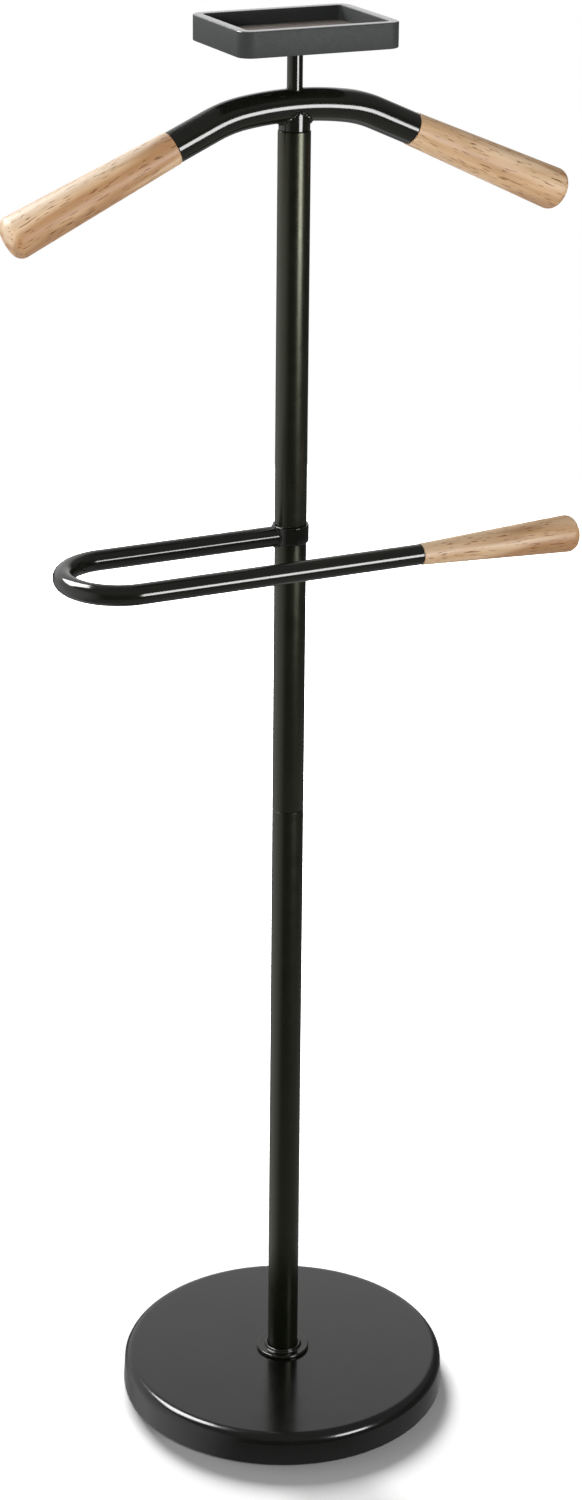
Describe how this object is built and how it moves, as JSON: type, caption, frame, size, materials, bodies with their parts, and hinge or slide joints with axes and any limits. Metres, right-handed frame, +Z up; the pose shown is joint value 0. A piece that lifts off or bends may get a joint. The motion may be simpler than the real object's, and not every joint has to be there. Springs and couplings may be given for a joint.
{
  "type": "valet stand",
  "caption": "Free-standing valet stand: weighted round base, tube pole, swivelling U-shaped trouser bar, coat hanger with wooden ends, and a small tray on a post.",
  "frame": {"origin": "on the floor, under the centre of the round base", "axes": "+Z up along the pole, X along the coat hanger, -Y towards the trouser bar's front run"},
  "size_m": [0.466, 0.269, 1.153],
  "materials": {
    "black_gloss_paint": "glossy black powder coat on steel tube",
    "black_satin_paint": "satin black powder coat",
    "zinc_steel": "zinc plated",
    "cement": "cast, rough",
    "black_rubber": "moulded, matt",
    "nylon": "natural nylon",
    "clear_coated_wood": "pale hardwood under a thin satin lacquer",
    "tray_black": "fine matt texture",
    "tray_liner": "brown-grey lining sheet"
  },
  "bodies": {
    "stand": {"base_bolt": "zinc_steel", "base_collar": "black_satin_paint", "base_cover": "black_satin_paint", "base_plate": "zinc_steel", "base_spring_washer": "zinc_steel", "base_washer": "zinc_steel", "base_weight": "cement", "lower_pole": "black_satin_paint", "lower_pole_foot_insert": "zinc_steel", "lower_pole_top_insert": "zinc_steel", "middle_pole": "black_satin_paint", "middle_pole_foot_insert": "zinc_steel", "middle_pole_top_insert": "zinc_steel", "pole_ring_stud": "zinc_steel", "pole_seam_stud": "zinc_steel", "ring_sleeve": "nylon", "rubber_foot_1": "black_rubber", "rubber_foot_2": "black_rubber", "rubber_foot_3": "black_rubber", "rubber_foot_4": "black_rubber", "rubber_foot_5": "black_rubber", "rubber_foot_6": "black_rubber", "upper_pole": "black_satin_paint", "upper_pole_foot_insert": "zinc_steel"},
    "trouser_bar": {"trouser_bar_ring": "black_gloss_paint", "trouser_bar_tube": "black_gloss_paint", "trouser_bar_handle": "clear_coated_wood"},
    "hanger": {"hanger_tube": "black_gloss_paint", "hanger_stub": "black_gloss_paint", "hanger_end_left": "clear_coated_wood", "hanger_end_right": "clear_coated_wood", "tray_post": "black_gloss_paint", "tray_pivot_bolt": "zinc_steel", "tray_pivot_washer": "zinc_steel"},
    "tray": {"tray_body": "tray_black", "tray_liner": "tray_liner", "tray_flange": "black_gloss_paint", "tray_flange_screw_1": "zinc_steel", "tray_flange_screw_2": "zinc_steel", "tray_flange_screw_3": "zinc_steel"}
  },
  "joints": [
    {"name": "trouser_bar_swivel", "type": "hinge", "parent": "stand", "child": "trouser_bar", "pos_m": [0, 0, 0.7523], "axis": [0, 0, 1], "continuous": true},
    {"name": "hanger_swivel", "type": "hinge", "parent": "stand", "child": "hanger", "pos_m": [0, 0, 1.069], "axis": [0, 0, 1], "continuous": true},
    {"name": "tray_swivel", "type": "hinge", "parent": "hanger", "child": "tray", "pos_m": [0, 0, 1.13], "axis": [0, 0, 1], "continuous": true}
  ]
}
